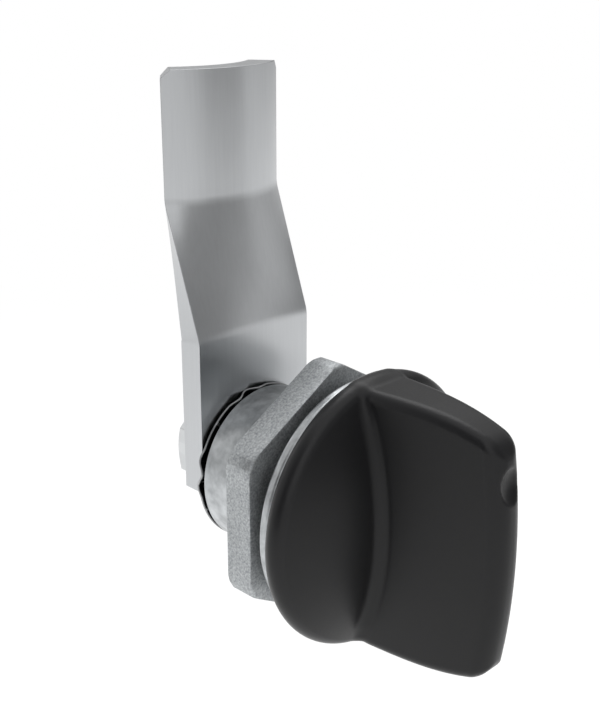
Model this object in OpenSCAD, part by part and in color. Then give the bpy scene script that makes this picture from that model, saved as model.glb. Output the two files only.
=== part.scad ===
// Quarter-turn cam latch with a wing knob, for a sheet-metal door or cover.
// The latch axis is Y: the knob is on the -Y side, the cam on the +Y side, and the cam points up (+Z).
// The origin is the centre of the flange face that lies on the panel.

/* [Housing] */
// diameter of the round flange in front of the panel
flange_d = 30; // [26:0.5:40]
// thickness of the flange
flange_t = 1.5; // [1.2:0.1:3]
// rounding of the flange rim
flange_edge = 0.55; // [0.2:0.05:0.6]
// outer diameter of the barrel that goes through the panel
barrel_d = 20; // [18:0.5:24]
// length of the barrel behind the panel face
barrel_l = 15; // [12:0.5:24]
// chamfer at the end of the barrel
barrel_chamfer = 0.4; // [0.2:0.05:1]
// distance of the barrel's locating flat from the axis
barrel_flat = 9.2; // [8.9:0.1:9.8]
// depth of the recess for the spindle collar, from the front of the flange
recess_depth = 3.2; // [2.8:0.1:5]

/* [Panel seal] */
// mean diameter of the seal in the back of the flange
seal_d = 25; // [24:0.2:26]
// width of the seal
seal_w = 1.6; // [1:0.1:2]
// depth of the groove that holds the seal
seal_depth = 0.8; // [0.5:0.05:0.9]

/* [Nut] */
// width across the flats
nut_af = 28.5; // [26:0.5:36]
// thickness of the nut
nut_t = 3.9; // [3:0.1:8]
// thickness of the panel that the nut would clamp as drawn
panel_t = 2; // [1:0.5:6]
// width of the small flat on each corner
nut_corner = 1.3; // [0.4:0.1:2]
// height of the turned chamfer at both faces
nut_chamfer = 0.35; // [0.1:0.05:0.8]

/* [Knob] */
// largest diameter of the round base
knob_d = 33; // [31:0.5:40]
// rounding of the base rim
knob_rim = 1.6; // [1.2:0.1:2]
// height of the domed base above its back face
dome_h = 6.4; // [5.5:0.1:8]
// height of the whole knob above its back face
knob_h = 21; // [17:0.1:30]
// thickness of the wing at its front edge
wing_t = 4.4; // [4:0.1:8]
// thickness that the wing gains from its front edge to the base
wing_draft = 2; // [0.2:0.1:3]
// length of the wing at the base
wing_l = 31.9; // [28:0.1:40]
// length of the wing at its front edge
wing_front_l = 28; // [22:0.1:34]
// power of the curve that shortens the wing towards its front edge
wing_sweep = 3; // [1:0.5:5]
// rounding of the wing's edges
wing_edge = 2; // [0.8:0.1:2]
// how far the front edge of the wing is crowned
wing_crown = 1.2; // [0:0.1:1.5]
// radius of the fillet between the wing and the base
wing_fillet = 1.25; // [0.8:0.05:3]
// diameter of the position mark in the front edge
mark_d = 4.2; // [2:0.1:4.6]
// depth of the position mark
mark_depth = 0.9; // [0.4:0.1:1.5]
// height of the position mark above the axis
mark_z = 9.5; // [6:0.1:9.6]
// wall thickness over the cored-out back
knob_wall = 2.2; // [1.6:0.1:2.8]

/* [Spindle] */
// diameter of the spindle in the barrel
spindle_d = 10; // [9.6:0.1:11]
// diameter of the collar that takes the thrust
collar_d = 15; // [14.6:0.1:15.6]
// thickness of the collar
collar_t = 2.6; // [2.2:0.1:3]
// width of the square end that drives the cam
square_w = 7; // [6:0.1:7]
// width of the square head moulded into the knob
head_w = 8.4; // [7:0.1:9.6]
// length of the square head inside the knob
head_l = 4.6; // [3.5:0.1:5]
// cord diameter of the spindle seal as squeezed
cord_d = 1.2; // [1:0.05:1.5]
// distance of the spindle seal behind the panel face
cord_y = 5.5; // [5:0.1:7]
// diameter of the stop pin
stop_d = 1.9; // [1.5:0.1:2]
// length of the stop pin
stop_l = 4.6; // [3.6:0.1:6]
// angle that the knob turns between its stops
turn_angle = 90; // [60:5:120]

/* [Cam] */
// distance from the axis to the tip of the cam
cam_reach = 48.2; // [44:0.2:70]
// width of the cam
cam_w = 18; // [16:0.5:22]
// thickness of the cam
cam_t = 3.3; // [2.5:0.1:5]
// height where the cam leaves its flat foot
bend_low = 17.6; // [14:0.1:20]
// height where the cam becomes straight again
bend_high = 33.2; // [28:0.1:40]
// setback of the arched end on its centre line
cam_setback = 2.2; // [0:0.1:8]
// radius of the arched end
arch_r = 14.2; // [13:0.1:40]
// length over which each bend is rounded
bend_blend = 1.5; // [0.5:0.5:8]
// chamfer at the tip corners
tip_chamfer = 0.95; // [0.3:0.05:3]
// depth of the foot below the axis
foot_z = 7.6; // [6.5:0.1:9]
// height below the axis where the foot starts to narrow
foot_shoulder = 1.9; // [0.5:0.1:3]
// slope of the narrowing foot
foot_slope = 37; // [30:1:50]

/* [Wave washer] */
// gap between the barrel end and the cam
wave_gap = 1; // [0.8:0.05:1.6]
// thickness of the spring strip
wave_t = 0.25; // [0.2:0.05:0.4]
// number of pressed beads
wave_beads = 5; // [3:1:8]
// angle between the two crests of a bead
bead_angle = 19; // [12:1:24]

/* [Cam screw] */
// nominal diameter of the screw thread
screw_d = 6; // [5:0.5:6]
// width across the flats of the screw head
screw_af = 10; // [9:0.5:12]
// height of the screw head
screw_head = 4; // [3:0.1:6]
// length of the screw below its head
screw_l = 12; // [10:0.5:14]
// diameter of the plain washer
washer_d = 12; // [11:0.5:16]
// thickness of the plain washer
washer_t = 1.6; // [1:0.1:2]
// diameter of the toothed lock washer
lock_d = 10.6; // [9.5:0.1:12]
// thickness of the toothed lock washer
lock_t = 0.8; // [0.6:0.1:1.2]
// number of teeth on the lock washer
lock_teeth = 8; // [6:1:12]

/* [Hidden] */
// radial clearance of turning fits
run_fit = 0.05;
// axial clearance between turning faces
face_fit = 0.05;
// clearance between pieces that are fixed to each other
seat_fit = 0.02;
// gap between the knob and the flange
knob_gap = 0.3;
// distance by which a cutting shape passes the face that it cuts
over = 1;
// smoothness of round shapes
$fn = 96;

flange_r = flange_d / 2;
flange_front = -flange_t;
barrel_r = barrel_d / 2;
recess_r = collar_d / 2 + 2 * run_fit;
recess_floor = flange_front + recess_depth;
bore_r = spindle_d / 2 + run_fit;
collar_back = recess_floor - face_fit;
collar_front = collar_back - collar_t;

nut_front = panel_t + seat_fit;
nut_apothem = nut_af / 2;
nut_corner_r = nut_apothem / cos(30);
nut_corner_apothem = nut_corner_r - nut_corner / 2 / tan(60);

knob_back = flange_front - knob_gap;
knob_front = knob_back - knob_h;
dome_top = knob_back - dome_h;
rim_r = knob_d / 2 - knob_rim;
rim_y = knob_back - knob_rim;
// the dome is a sphere that runs into the rim without a step
dome_rise = rim_y - dome_top;
dome_r = (rim_r * rim_r + dome_rise * dome_rise - knob_rim * knob_rim) / 2 / (dome_rise - knob_rim);
dome_centre = dome_top + dome_r;
dome_edge = rim_r * dome_r / (dome_r - knob_rim);
hub_r = recess_r - knob_gap;
hub_back = collar_front - seat_fit;
// radius of the sphere that dishes the position mark
mark_r = (mark_d * mark_d / 4 + mark_depth * mark_depth) / 2 / mark_depth;
core_in = hub_r + knob_wall / 2;
core_out = rim_r - knob_wall;
core_depth = dome_h - knob_wall - (dome_r - sqrt(dome_r * dome_r - core_out * core_out));
core_ribs = 6;
rib_t = knob_wall / 2;
head_front = knob_back - head_l;
neck_r = head_w / 2;
neck_l = head_l / 4;

cam_front = barrel_l + wave_gap;
cam_back = cam_front + cam_t;
cam_half = cam_w / 2;
square_end = cam_back - 0.2;
hole_w = square_w + 2 * run_fit;
foot_cut = cam_half - (foot_z - foot_shoulder) / tan(foot_slope);
// a bend stays wide enough for the thickness of the sheet on its inside
bend_l = max(bend_blend, 1.3 * cam_t * (cam_setback + arch_drop(cam_half)) / (bend_high - bend_low));

washer_back = cam_back + washer_t;
lock_back = washer_back + lock_t;
screw_r = screw_d / 2;
screw_tip = lock_back - screw_l;
tap_r = screw_r + seat_fit;
tap_end = screw_tip - 1.2;
washer_hole = screw_r + 0.2;
screw_corner = screw_af / 2 / cos(30);

wave_out = barrel_r - 0.3;
wave_in = spindle_d / 2 + 2;
wave_crest = barrel_l + face_fit;
wave_trough = cam_front - seat_fit - wave_t;
wave_rest = (wave_crest + wave_trough) / 2;

stop_r = (spindle_d / 2 + collar_d / 2) / 2;
stop_front = recess_floor - collar_t / 2;
stop_half = asin((stop_d / 2 + 2 * run_fit) / stop_r);
cord_r = bore_r - seat_fit - cord_d / 2;
groove_r = cord_r - cord_d / 2 - seat_fit;
groove_w = cord_d + 0.4;

// draws its children along the latch axis: their Z becomes +Y, starting at depth y
module along_axis(y = 0) {
    translate([0, y, 0])
        rotate([-90, 0, 0])
            children();
}

// a ring or disc along the axis between two depths
module ring(y0, y1, r_out, r_in = 0) {
    along_axis(y0)
        difference() {
            cylinder(h = y1 - y0, r = r_out);
            if (r_in > 0)
                translate([0, 0, -over])
                    cylinder(h = y1 - y0 + 2 * over, r = r_in);
        }
}

// a square bar along the axis between two depths
module square_bar(y0, y1, w) {
    translate([-w / 2, y0, -w / 2])
        cube([w, y1 - y0, w]);
}

// a hexagonal bar along the axis with a corner at the top
module hex_bar(y0, y1, apothem) {
    along_axis(y0)
        rotate([0, 0, 90])
            cylinder(h = y1 - y0, r = apothem / cos(30), $fn = 6);
}

// a disc with both rim edges rounded, between two depths
module rounded_disc(y0, y1, r, edge) {
    along_axis()
        rotate_extrude()
            union() {
                translate([0, y0])
                    square([r - edge, y1 - y0]);
                translate([0, y0 + edge])
                    square([r, y1 - y0 - 2 * edge]);
                translate([r - edge, y0 + edge])
                    circle(r = edge, $fn = 48);
                translate([r - edge, y1 - edge])
                    circle(r = edge, $fn = 48);
            }
}

module housing() {
    color("silver")
        difference() {
            union() {
                rounded_disc(flange_front, 0, flange_r, flange_edge);
                ring(flange_front / 2, barrel_l - barrel_chamfer, barrel_r);
                along_axis(barrel_l - barrel_chamfer)
                    cylinder(h = barrel_chamfer, r1 = barrel_r, r2 = barrel_r - barrel_chamfer);
            }
            ring(flange_front - over, barrel_l + over, bore_r);
            ring(flange_front - over, recess_floor, recess_r);
            // the flat keeps the barrel from turning in the panel
            translate([-barrel_r, 0, -barrel_flat - barrel_r])
                cube([2 * barrel_r, barrel_l + over, barrel_r]);
            ring(-seal_depth, over, seal_d / 2 + seal_w / 2, seal_d / 2 - seal_w / 2);
            stop_hole();
        }
}

// the blind hole that takes the stop pin
module stop_hole() {
    translate([0, 0, -stop_r])
        ring(recess_floor - over, stop_front + stop_l + 2 * seat_fit, stop_d / 2 + seat_fit / 2);
}

module panel_seal() {
    color("dimgray")
        ring(-seal_depth + seat_fit, -seat_fit,
            seal_d / 2 + seal_w / 2 - seat_fit, seal_d / 2 - seal_w / 2 + seat_fit);
}

module stop_pin() {
    color("lightgray")
        translate([0, 0, -stop_r])
            rounded_disc(stop_front, stop_front + stop_l, stop_d / 2, stop_d / 8);
}

module hex_nut() {
    color("darkgray")
        difference() {
            intersection() {
                hex_bar(nut_front, nut_front + nut_t, nut_apothem);
                // a second, turned hexagon takes the points off the corners
                rotate([0, 30, 0])
                    hex_bar(nut_front, nut_front + nut_t, nut_corner_apothem);
                nut_turning();
            }
            ring(nut_front - over, nut_front + nut_t + over, barrel_r + run_fit);
            nut_countersink(nut_front, 1);
            nut_countersink(nut_front + nut_t, -1);
        }
}

// the barrel shape that chamfers the corners at both faces of the nut
module nut_turning() {
    slope = tan(60);
    r_face = nut_corner_r - nut_chamfer * slope;
    along_axis(nut_front)
        union() {
            cylinder(h = nut_chamfer, r1 = r_face, r2 = nut_corner_r);
            translate([0, 0, nut_chamfer])
                cylinder(h = nut_t - 2 * nut_chamfer, r = nut_corner_r);
            translate([0, 0, nut_t - nut_chamfer])
                cylinder(h = nut_chamfer, r1 = nut_corner_r, r2 = r_face);
        }
}

// the lead-in cone at one mouth of the threaded hole
module nut_countersink(y, way) {
    lead = 2 * nut_chamfer;
    along_axis(y)
        mirror([0, 0, way > 0 ? 0 : 1])
            translate([0, 0, -seat_fit])
                cylinder(h = lead, r1 = barrel_r + run_fit + lead, r2 = barrel_r + run_fit);
}

module wing_knob() {
    color([0.13, 0.13, 0.13])
        difference() {
            union() {
                knob_base();
                ring(knob_back - over, hub_back, hub_r);
                wing();
            }
            knob_core();
            square_bar(head_front - seat_fit, hub_back + over, head_w + 2 * seat_fit);
            // the position mark is a round dish
            translate([0, knob_front + crown_at(mark_z) + mark_depth - mark_r, mark_z])
                sphere(r = mark_r);
        }
}

// the domed round base, open at the back where it is cored out
module knob_base() {
    along_axis()
        rotate_extrude()
            union() {
                translate([0, rim_y])
                    square([rim_r, knob_rim]);
                translate([rim_r, rim_y])
                    circle(r = knob_rim, $fn = 64);
                intersection() {
                    translate([0, dome_centre])
                        circle(r = dome_r, $fn = 128);
                    translate([0, dome_top - over])
                        square([dome_edge, rim_y - dome_top + over]);
                }
            }
}

// the ring-shaped pocket in the back of the base, crossed by ribs
module knob_core() {
    difference() {
        ring(knob_back - core_depth, knob_back + over, core_out, core_in);
        for (i = [0:core_ribs - 1])
            rotate([0, i * 360 / core_ribs, 0])
                translate([0, knob_back - core_depth - over, -rib_t / 2])
                    cube([knob_d, core_depth + 3 * over, rib_t]);
    }
}

// the wing is lofted: each level is a rounded rectangle, mirrored about the axis plane
corner_steps = 6;
side_steps = 14;
fillet_steps = 6;
body_steps = 8;
nose_steps = 8;
row_count = 2 * (corner_steps + 1) + side_steps - 1;
level_count = fillet_steps + body_steps + nose_steps + 2;
// angle at which the foot fillet leaves the dome
fillet_start = 20;

// depth of the dome surface under a point of the wing
function dome_at(x, z) = dome_centre - sqrt(dome_r * dome_r - x * x - z * z);
// how far the crowned front edge falls back at a height
function crown_at(z) = wing_crown * pow(2 * z / wing_front_l, 2);
// share of the way from the base to the front edge at a level
function level_share(k) = k <= fillet_steps + 1 ? 0
    : k <= fillet_steps + 1 + body_steps ? (k - fillet_steps - 1) / body_steps : 1;
// angle along the foot fillet, and along the front rounding
function fillet_angle(k) = fillet_start + (90 - fillet_start) * min(1, max(0, k - 1) / fillet_steps);
function nose_angle(k) = 90 * max(0, k - fillet_steps - body_steps - 1) / nose_steps;
// sideways growth of a level: out at the foot, in at the front edge
function level_grow(k) = wing_fillet * (1 - sin(fillet_angle(k))) - wing_edge * (1 - cos(nose_angle(k)));
// height of a level above the dome, up to the end of the foot fillet
function foot_rise(k) =
    k == 0 ? -wing_fillet : wing_fillet * (cos(fillet_start) - cos(fillet_angle(k))) - seat_fit;
// half sizes of the wing, without the fillet, at a share of its height
function half_t(s) = wing_t / 2 + wing_draft / 2 * (1 - s);
function half_l(s) = wing_l / 2 + (wing_front_l - wing_l) / 2 * pow(s, wing_sweep);

// point of the half outline, from the top middle to the bottom middle, before the level is placed
function row_point(t, l, r, i) =
    i <= corner_steps ? [t - r + r * sin(90 * i / corner_steps), l - r + r * cos(90 * i / corner_steps)]
    : i < corner_steps + side_steps ? [t, (l - r) * (1 - 2 * (i - corner_steps) / side_steps)]
    : [t - r + r * cos(90 * (i - corner_steps - side_steps) / corner_steps),
        -l + r - r * sin(90 * (i - corner_steps - side_steps) / corner_steps)];

// depth of a wing point: it follows the dome at the foot and the crown at the front edge
function wing_depth(k, x, z) =
    let (foot = dome_at(x, z) - foot_rise(min(k, fillet_steps + 1)),
        nose = knob_front + crown_at(z) + wing_edge * (1 - sin(nose_angle(k))))
    k <= fillet_steps + 1 ? foot : foot + (nose - foot) * level_share(k);

function wing_row(k, i) =
    let (s = level_share(k), g = level_grow(k), t = half_t(s) + g,
        p = row_point(t, half_l(s) + min(g, g / 2), min(wing_edge + max(0, g), t - seat_fit), i))
    [p[0], wing_depth(k, p[0], p[1]), p[1]];

module wing() {
    n = 2 * row_count;
    right = [for (k = [0:level_count - 1]) [for (i = [0:row_count - 1]) wing_row(k, i)]];
    points = [for (k = [0:level_count - 1], j = [0:n - 1])
        j < row_count ? right[k][j]
        : let (q = right[k][n - 1 - j]) [-q[0], q[1], q[2]]];
    walls = [for (k = [0:level_count - 2], j = [0:n - 1])
        let (a = k * n + j, b = k * n + (j + 1) % n, c = a + n, d = b + n)
        each [[a, b, d], [a, d, c]]];
    top = (level_count - 1) * n;
    ends = [for (i = [0:row_count - 2])
        each [[i, n - 1 - i, i + 1], [i + 1, n - 1 - i, n - 2 - i],
            [top + i, top + i + 1, top + n - 1 - i], [top + i + 1, top + n - 2 - i, top + n - 1 - i]]];
    polyhedron(points = points, faces = concat(walls, ends), convexity = 4);
}

module spindle() {
    color("gainsboro")
        difference() {
            union() {
                square_bar(head_front, hub_back, head_w);
                ring(collar_front, collar_back, collar_d / 2);
                ring(hub_back - seat_fit, cam_front, spindle_d / 2);
                square_bar(cam_front - over, square_end, square_w);
            }
            // a neck in the square head anchors it in the moulded knob
            ring(head_front + neck_l, head_front + 2 * neck_l, head_w, neck_r);
            ring(cord_y - groove_w / 2, cord_y + groove_w / 2, spindle_d, groove_r);
            ring(tap_end, square_end + over, tap_r);
            stop_slot();
        }
}

// the arc in the collar that the stop pin runs in
module stop_slot() {
    along_axis(stop_front - 2 * face_fit)
        rotate([0, 0, 90 - turn_angle - stop_half])
            rotate_extrude(angle = turn_angle + 2 * stop_half)
                translate([stop_r - stop_d / 2 - run_fit, 0])
                    square([collar_d, collar_t]);
}

module spindle_seal() {
    color("black")
        along_axis(cord_y)
            rotate_extrude()
                translate([cord_r, 0])
                    circle(r = cord_d / 2, $fn = 48);
}

// depth of the spring strip's front face at an angle: each bead has two crests and a valley
function wave_at(a) =
    let (pitch = 360 / wave_beads, h = bead_angle / 2,
        b = abs((a % pitch) - pitch / 2))
    b < h ? wave_crest + (wave_trough - wave_crest) * (1 + cos(180 * b / h)) / 2
    : b < 2 * h ? wave_crest + (wave_rest - wave_crest) * (1 - cos(180 * (b - h) / h)) / 2
    : wave_rest;

module wave_washer() {
    color("gray")
        polyhedron_ring(120);
}

// the wavy strip as a closed ring of four-cornered sections
module polyhedron_ring(count) {
    turn = 55;
    points = [for (i = [0:count - 1])
        let (a = 360 * i / count, y = wave_at(a), c = cos(a + turn), s = sin(a + turn))
        each [[wave_in * c, y, wave_in * s], [wave_out * c, y, wave_out * s],
            [wave_out * c, y + wave_t, wave_out * s], [wave_in * c, y + wave_t, wave_in * s]]];
    faces = [for (i = [0:count - 1], j = [0:3])
        let (a = 4 * i + j, b = 4 * i + (j + 1) % 4,
            c = (a + 4) % (4 * count), d = (b + 4) % (4 * count))
        each [[a, b, d], [a, d, c]]];
    polyhedron(points = points, faces = faces, convexity = 6);
}

// the cam surface: a share that runs from the flat foot to the arched end, rounded at both bends
function ramp(z) =
    let (s = (z - bend_low) / (bend_high - bend_low), e = bend_l / 2 / (bend_high - bend_low))
    s <= -e ? 0 : s < e ? pow(s + e, 2) / 4 / e : s <= 1 - e ? s
    : s < 1 + e ? 1 - pow(1 + e - s, 2) / 4 / e : 1;
function ramp_slope(z) =
    let (h = bend_high - bend_low, s = (z - bend_low) / h, e = bend_l / 2 / h)
    s <= -e || s >= 1 + e ? 0 : min(1, (s + e) / 2 / e, (1 + e - s) / 2 / e) / h;
function arch_drop(x) = arch_r - sqrt(arch_r * arch_r - x * x);
function arch_slope(x) = x / sqrt(arch_r * arch_r - x * x);
function cam_depth(x, z) = cam_front + ramp(z) * (cam_setback + arch_drop(x));
// direction through the sheet, square to its front face
function cam_normal(x, z) =
    let (v = [-ramp(z) * arch_slope(x), 1, -ramp_slope(z) * (cam_setback + arch_drop(x))])
    v / norm(v);

cross_steps = 24;
bend_steps = 4;
slope_steps = 6;
// columns of the sheet across its width: the outer ones are as wide as the tip chamfer
function cam_column(i) =
    i == 0 ? -cam_half : i == cross_steps ? cam_half
    : (cam_half - tip_chamfer) * (2 * (i - 1) / (cross_steps - 2) - 1);
// height of a point of the sheet: the chamfer takes off the tip corners
function cam_height(x, z) = min(z, cam_reach + cam_half - tip_chamfer - abs(x));

module cam() {
    color("whitesmoke")
        difference() {
            cam_sheet();
            square_bar(cam_front - over, cam_back + over, hole_w);
            for (side = [0, 1])
                mirror([side, 0, 0])
                    foot_corner();
        }
}

// the corner that is cut off one side of the foot
module foot_corner() {
    translate([0, cam_back + over, 0])
        rotate([90, 0, 0])
            linear_extrude(height = cam_t + 2 * over)
                polygon([[foot_cut, -foot_z], [cam_half + over, -foot_shoulder + over * tan(foot_slope)],
                    [cam_half + over, -foot_z - over], [foot_cut, -foot_z - over]]);
}

// the formed sheet before its foot and hole are cut
module cam_sheet() {
    half = bend_l / 2;
    heights = concat([-foot_z],
        [for (i = [0:bend_steps]) bend_low - half + bend_l * i / bend_steps],
        [for (i = [1:slope_steps - 1])
            bend_low + half + (bend_high - bend_low - bend_l) * i / slope_steps],
        [for (i = [0:bend_steps]) bend_high - half + bend_l * i / bend_steps],
        [cam_reach]);
    w = cross_steps + 1;
    rows = len(heights);
    front = [for (z = heights, i = [0:cross_steps])
        let (x = cam_column(i)) [x, cam_depth(x, z), cam_height(x, z)]];
    back = [for (p = front) p + cam_t * cam_normal(p[0], p[2])];
    m = len(front);
    skins = [for (j = [0:rows - 2], i = [0:cross_steps - 1])
        let (a = j * w + i, b = a + 1, c = a + w, d = b + w)
        each [[a, c, d], [a, d, b], [m + a, m + d, m + c], [m + a, m + b, m + d]]];
    sides = [for (j = [0:rows - 2])
        let (a = j * w, c = a + w, b = a + cross_steps, d = c + cross_steps)
        each [[a, m + c, c], [a, m + a, m + c], [b, d, m + d], [b, m + d, m + b]]];
    last = (rows - 1) * w;
    ends = [for (i = [0:cross_steps - 1])
        each [[i, i + 1, m + i + 1], [i, m + i + 1, m + i],
            [last + i, m + last + i + 1, last + i + 1], [last + i, m + last + i, m + last + i + 1]]];
    polyhedron(points = concat(front, back), faces = concat(skins, sides, ends), convexity = 4);
}

module cam_washer() {
    color("silver")
        ring(cam_back, washer_back, washer_d / 2, washer_hole);
}

module lock_washer() {
    tooth = lock_d / 12;
    color("dimgray")
        difference() {
            ring(washer_back, lock_back, lock_d / 2, washer_hole);
            for (i = [0:lock_teeth - 1])
                rotate([0, (i + 0.5) * 360 / lock_teeth, 0])
                    translate([lock_d / 2 - tooth, washer_back - over, -tooth / 2])
                        cube([lock_d, lock_t + 2 * over, tooth]);
        }
}

module cam_screw() {
    bevel = screw_head / 10;
    color("silver")
        union() {
            intersection() {
                hex_bar(lock_back, lock_back + screw_head, screw_af / 2);
                along_axis(lock_back)
                    union() {
                        cylinder(h = screw_head - 2 * bevel, r = screw_corner + over);
                        translate([0, 0, screw_head - 2 * bevel])
                            cylinder(h = 2 * bevel, r1 = screw_af / 2 + 2 * bevel / tan(30) - bevel,
                                r2 = screw_af / 2 - bevel);
                    }
            }
            ring(screw_tip + bevel, lock_back + bevel, screw_r);
            along_axis(screw_tip)
                cylinder(h = bevel, r1 = screw_r - bevel, r2 = screw_r);
        }
}

housing();
panel_seal();
stop_pin();
hex_nut();
wing_knob();
spindle();
spindle_seal();
wave_washer();
cam();
cam_washer();
lock_washer();
cam_screw();
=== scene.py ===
"""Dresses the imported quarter-turn cam latch: finer shapes, real finishes, a studio and a camera.

Lengths in the classes are millimetres in the part's own frame. The latch axis is Y with the knob at -Y,
the cam points up (+Z), and the origin is the centre of the flange face that lies on the panel.
"""

import logging
from dataclasses import dataclass
from enum import Enum
from typing import Callable, Mapping, Sequence

import bpy
import numpy as np
from mathutils import Matrix, Vector


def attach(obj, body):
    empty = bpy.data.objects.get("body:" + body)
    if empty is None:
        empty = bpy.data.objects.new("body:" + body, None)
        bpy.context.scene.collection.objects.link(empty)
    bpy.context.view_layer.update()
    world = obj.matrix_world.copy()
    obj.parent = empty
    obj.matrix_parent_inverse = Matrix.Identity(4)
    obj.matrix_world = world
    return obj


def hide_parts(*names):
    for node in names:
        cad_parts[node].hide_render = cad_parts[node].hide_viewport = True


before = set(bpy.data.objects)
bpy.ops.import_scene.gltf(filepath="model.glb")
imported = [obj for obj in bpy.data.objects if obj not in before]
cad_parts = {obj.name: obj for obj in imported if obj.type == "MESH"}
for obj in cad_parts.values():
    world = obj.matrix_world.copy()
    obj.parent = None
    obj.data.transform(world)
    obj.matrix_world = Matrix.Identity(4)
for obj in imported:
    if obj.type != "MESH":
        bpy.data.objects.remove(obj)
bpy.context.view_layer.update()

LOG = logging.getLogger("cam_latch")
MM = 0.001
WHITE = "#FFFFFF"
# Sides of the studio's round shapes
ROUND_SIDES = 96
# Degrees from one side of a hexagon to the next
HEX_DEG = 60
# Sockets of the Mix node when it mixes colours
MIX_SHARE, MIX_FIRST, MIX_SECOND, MIX_RESULT = 0, 6, 7, 2
# Where most values of a noise lie
NOISE_LOW, NOISE_HIGH = 0.3, 0.7

Array = np.ndarray
Distance = Callable[[Array], Array]


class Body(Enum):
    """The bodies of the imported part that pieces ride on."""

    NUT = "nut"
    ROTOR = "rotor"


# Colours and nodes


def linear(hex_code: str) -> tuple[float, float, float, float]:
    """Turns an sRGB hex colour into linear light.

    Args:
        hex_code: six hex digits, with or without a leading #.

    Returns:
        Red, green, blue and an alpha of 1.
    """
    digits = hex_code.lstrip("#")
    channels = [int(digits[i:i + 2], 16) / 255 for i in (0, 2, 4)]
    red, green, blue = (c / 12.92 if c <= 0.04045 else ((c + 0.055) / 1.055) ** 2.4 for c in channels)
    return red, green, blue, 1.0


def per_mm(*sizes: float) -> tuple[float, ...]:
    """Turns pattern sizes in millimetres into texture scales for coordinates in metres."""
    return tuple(1 / (size * MM) for size in sizes)


def add_node(
    tree: bpy.types.NodeTree, kind: str, inputs: Mapping[str | int, object] | None = None, **settings: object
) -> bpy.types.Node:
    """Adds one node with its settings and links.

    Args:
        tree: the node tree to add to.
        kind: Blender's type name of the node.
        inputs: for each input socket, by name or index, a value or the output socket that feeds it.
        **settings: the node's own properties.

    Returns:
        The new node.
    """
    node = tree.nodes.new(kind)
    for name, value in settings.items():
        setattr(node, name, value)
    for key, value in (inputs or {}).items():
        if isinstance(value, bpy.types.NodeSocket):
            tree.links.new(value, node.inputs[key])
        else:
            node.inputs[key].default_value = value
    return node


def blank_material(name: str) -> bpy.types.Material:
    """Makes a material with an empty node tree.

    Args:
        name: what the material is called.

    Returns:
        The new material.
    """
    material = bpy.data.materials.new(name)
    material.use_nodes = True
    material.node_tree.nodes.clear()
    return material


@dataclass(frozen=True)
class Finish:
    """What a piece is made of and how its surface was made."""

    name: str

    def material(self) -> bpy.types.Material:
        """Returns the finish as a Blender material, made once."""
        return bpy.data.materials.get(self.name) or self._make()

    def _make(self) -> bpy.types.Material:
        """Builds the node tree of the finish."""
        raise NotImplementedError


@dataclass(frozen=True)
class MetalFinish(Finish):
    """A metal surface: two tones of grain, soft blotches in its gloss, and a lighter colour on its edges,
    which is rubbed wear on most finishes and a painted highlight on the dark spring strip.

    The grain is given by its size along the frame's three axes, so that rolled sheet can have long streaks.
    The edge colour sets in at the pointiness edge_from and is full at edge_to, where a flat face has 0.5.
    """

    dark: str
    light: str
    edge: str
    grain_mm: tuple[float, float, float]
    grain_contrast: tuple[float, float]
    blotch_mm: float
    roughness: tuple[float, float]
    bump_mm: float
    edge_from: float = 0.515
    edge_to: float = 0.57
    relief: float = 0.5

    def _make(self) -> bpy.types.Material:
        """Builds the node tree of the finish.

        Returns:
            The new material.
        """
        material = blank_material(self.name)
        tree = material.node_tree
        where = add_node(tree, "ShaderNodeTexCoord").outputs["Object"]
        stretched = add_node(
            tree, "ShaderNodeVectorMath", {0: where, 1: per_mm(*self.grain_mm)}, operation="MULTIPLY"
        )
        grain = add_node(
            tree,
            "ShaderNodeTexNoise",
            {"Vector": stretched.outputs[0], "Scale": 1.0, "Detail": 3.0, "Roughness": 0.6},
        )
        blotch = add_node(
            tree, "ShaderNodeTexNoise", {"Vector": where, "Scale": per_mm(self.blotch_mm)[0], "Detail": 2.0}
        )
        low, high = self.grain_contrast
        tone = add_node(
            tree, "ShaderNodeMapRange", {"Value": grain.outputs[0], "From Min": low, "From Max": high}
        )
        colour = add_node(
            tree,
            "ShaderNodeMix",
            {MIX_SHARE: tone.outputs[0], MIX_FIRST: linear(self.dark), MIX_SECOND: linear(self.light)},
            data_type="RGBA",
        )
        ridge = add_node(
            tree,
            "ShaderNodeMapRange",
            {
                "Value": add_node(tree, "ShaderNodeNewGeometry").outputs["Pointiness"],
                "From Min": self.edge_from,
                "From Max": self.edge_to,
            },
        )
        # The edge colour is rubbed wear on most finishes and a painted highlight on the dark spring strip.
        edge_toned = add_node(
            tree,
            "ShaderNodeMix",
            {
                MIX_SHARE: ridge.outputs[0],
                MIX_FIRST: colour.outputs[MIX_RESULT],
                MIX_SECOND: linear(self.edge),
            },
            data_type="RGBA",
        )
        smooth, rough = self.roughness
        gloss = add_node(
            tree,
            "ShaderNodeMapRange",
            {
                "Value": blotch.outputs[0],
                "From Min": NOISE_LOW,
                "From Max": NOISE_HIGH,
                "To Min": smooth,
                "To Max": rough,
            },
        )
        bump = add_node(
            tree,
            "ShaderNodeBump",
            {"Strength": self.relief, "Distance": self.bump_mm * MM, "Height": grain.outputs[0]},
        )
        shader = add_node(
            tree,
            "ShaderNodeBsdfPrincipled",
            {
                "Base Color": edge_toned.outputs[MIX_RESULT],
                "Metallic": 1.0,
                "Roughness": gloss.outputs[0],
                "Normal": bump.outputs[0],
            },
        )
        add_node(tree, "ShaderNodeOutputMaterial", {"Surface": shader.outputs[0]})
        return material


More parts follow.
